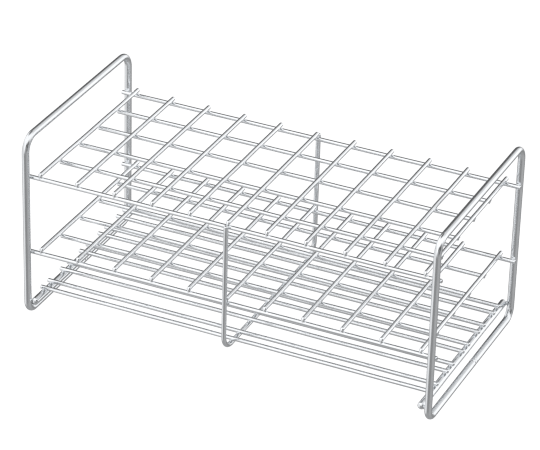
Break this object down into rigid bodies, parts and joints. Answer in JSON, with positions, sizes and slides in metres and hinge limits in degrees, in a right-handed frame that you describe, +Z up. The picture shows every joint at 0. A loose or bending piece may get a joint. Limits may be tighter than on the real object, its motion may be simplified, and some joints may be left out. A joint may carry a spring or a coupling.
{
  "type": "test tube rack",
  "caption": "Welded steel wire rack that stands test tubes upright in square cells, with a loop of wire at each end as leg and handle.",
  "frame": {"origin": "on the table, under the middle of the rack", "axes": "+X along the ten columns, +Y to the rear long side, +Z up"},
  "size_m": [0.2382, 0.1206, 0.109],
  "materials": {
    "frame_wire": "bright electropolished stainless steel wire, smooth bends",
    "grid_wire": "bright electropolished stainless steel wire",
    "cross_wire": "bright electropolished stainless steel wire",
    "tray_wire": "bright electropolished stainless steel wire",
    "bar_wire": "bright electropolished stainless steel wire"
  },
  "bodies": {
    "root": {"end_frame_left": "frame_wire", "end_frame_right": "frame_wire", "top_long_wire_1": "grid_wire", "top_long_wire_2": "grid_wire", "top_long_wire_3": "grid_wire", "top_long_wire_4": "grid_wire", "top_long_wire_5": "grid_wire", "top_long_wire_6": "grid_wire", "top_cross_wire_01": "cross_wire", "top_cross_wire_02": "cross_wire", "top_cross_wire_03": "cross_wire", "top_cross_wire_04": "cross_wire", "top_cross_wire_05": "cross_wire", "top_cross_wire_06": "cross_wire", "top_cross_wire_07": "cross_wire", "top_cross_wire_08": "cross_wire", "top_cross_wire_09": "cross_wire", "top_cross_wire_10": "cross_wire", "top_cross_wire_11": "cross_wire", "middle_long_wire_1": "grid_wire", "middle_long_wire_2": "grid_wire", "middle_long_wire_3": "grid_wire", "middle_long_wire_4": "grid_wire", "middle_long_wire_5": "grid_wire", "middle_long_wire_6": "grid_wire", "middle_cross_wire_01": "cross_wire", "middle_cross_wire_02": "cross_wire", "middle_cross_wire_03": "cross_wire", "middle_cross_wire_04": "cross_wire", "middle_cross_wire_05": "cross_wire", "middle_cross_wire_06": "cross_wire", "middle_cross_wire_07": "cross_wire", "middle_cross_wire_08": "cross_wire", "middle_cross_wire_09": "cross_wire", "middle_cross_wire_10": "cross_wire", "middle_cross_wire_11": "cross_wire", "tray_wire_01": "tray_wire", "tray_wire_02": "tray_wire", "tray_wire_03": "tray_wire", "tray_wire_04": "tray_wire", "tray_wire_05": "tray_wire", "tray_wire_06": "tray_wire", "tray_wire_07": "tray_wire", "tray_wire_08": "tray_wire", "tray_wire_09": "tray_wire", "tray_wire_10": "tray_wire", "tray_end_bar_left": "bar_wire", "tray_end_bar_right": "bar_wire", "centre_support": "bar_wire"}
  },
  "joints": []
}
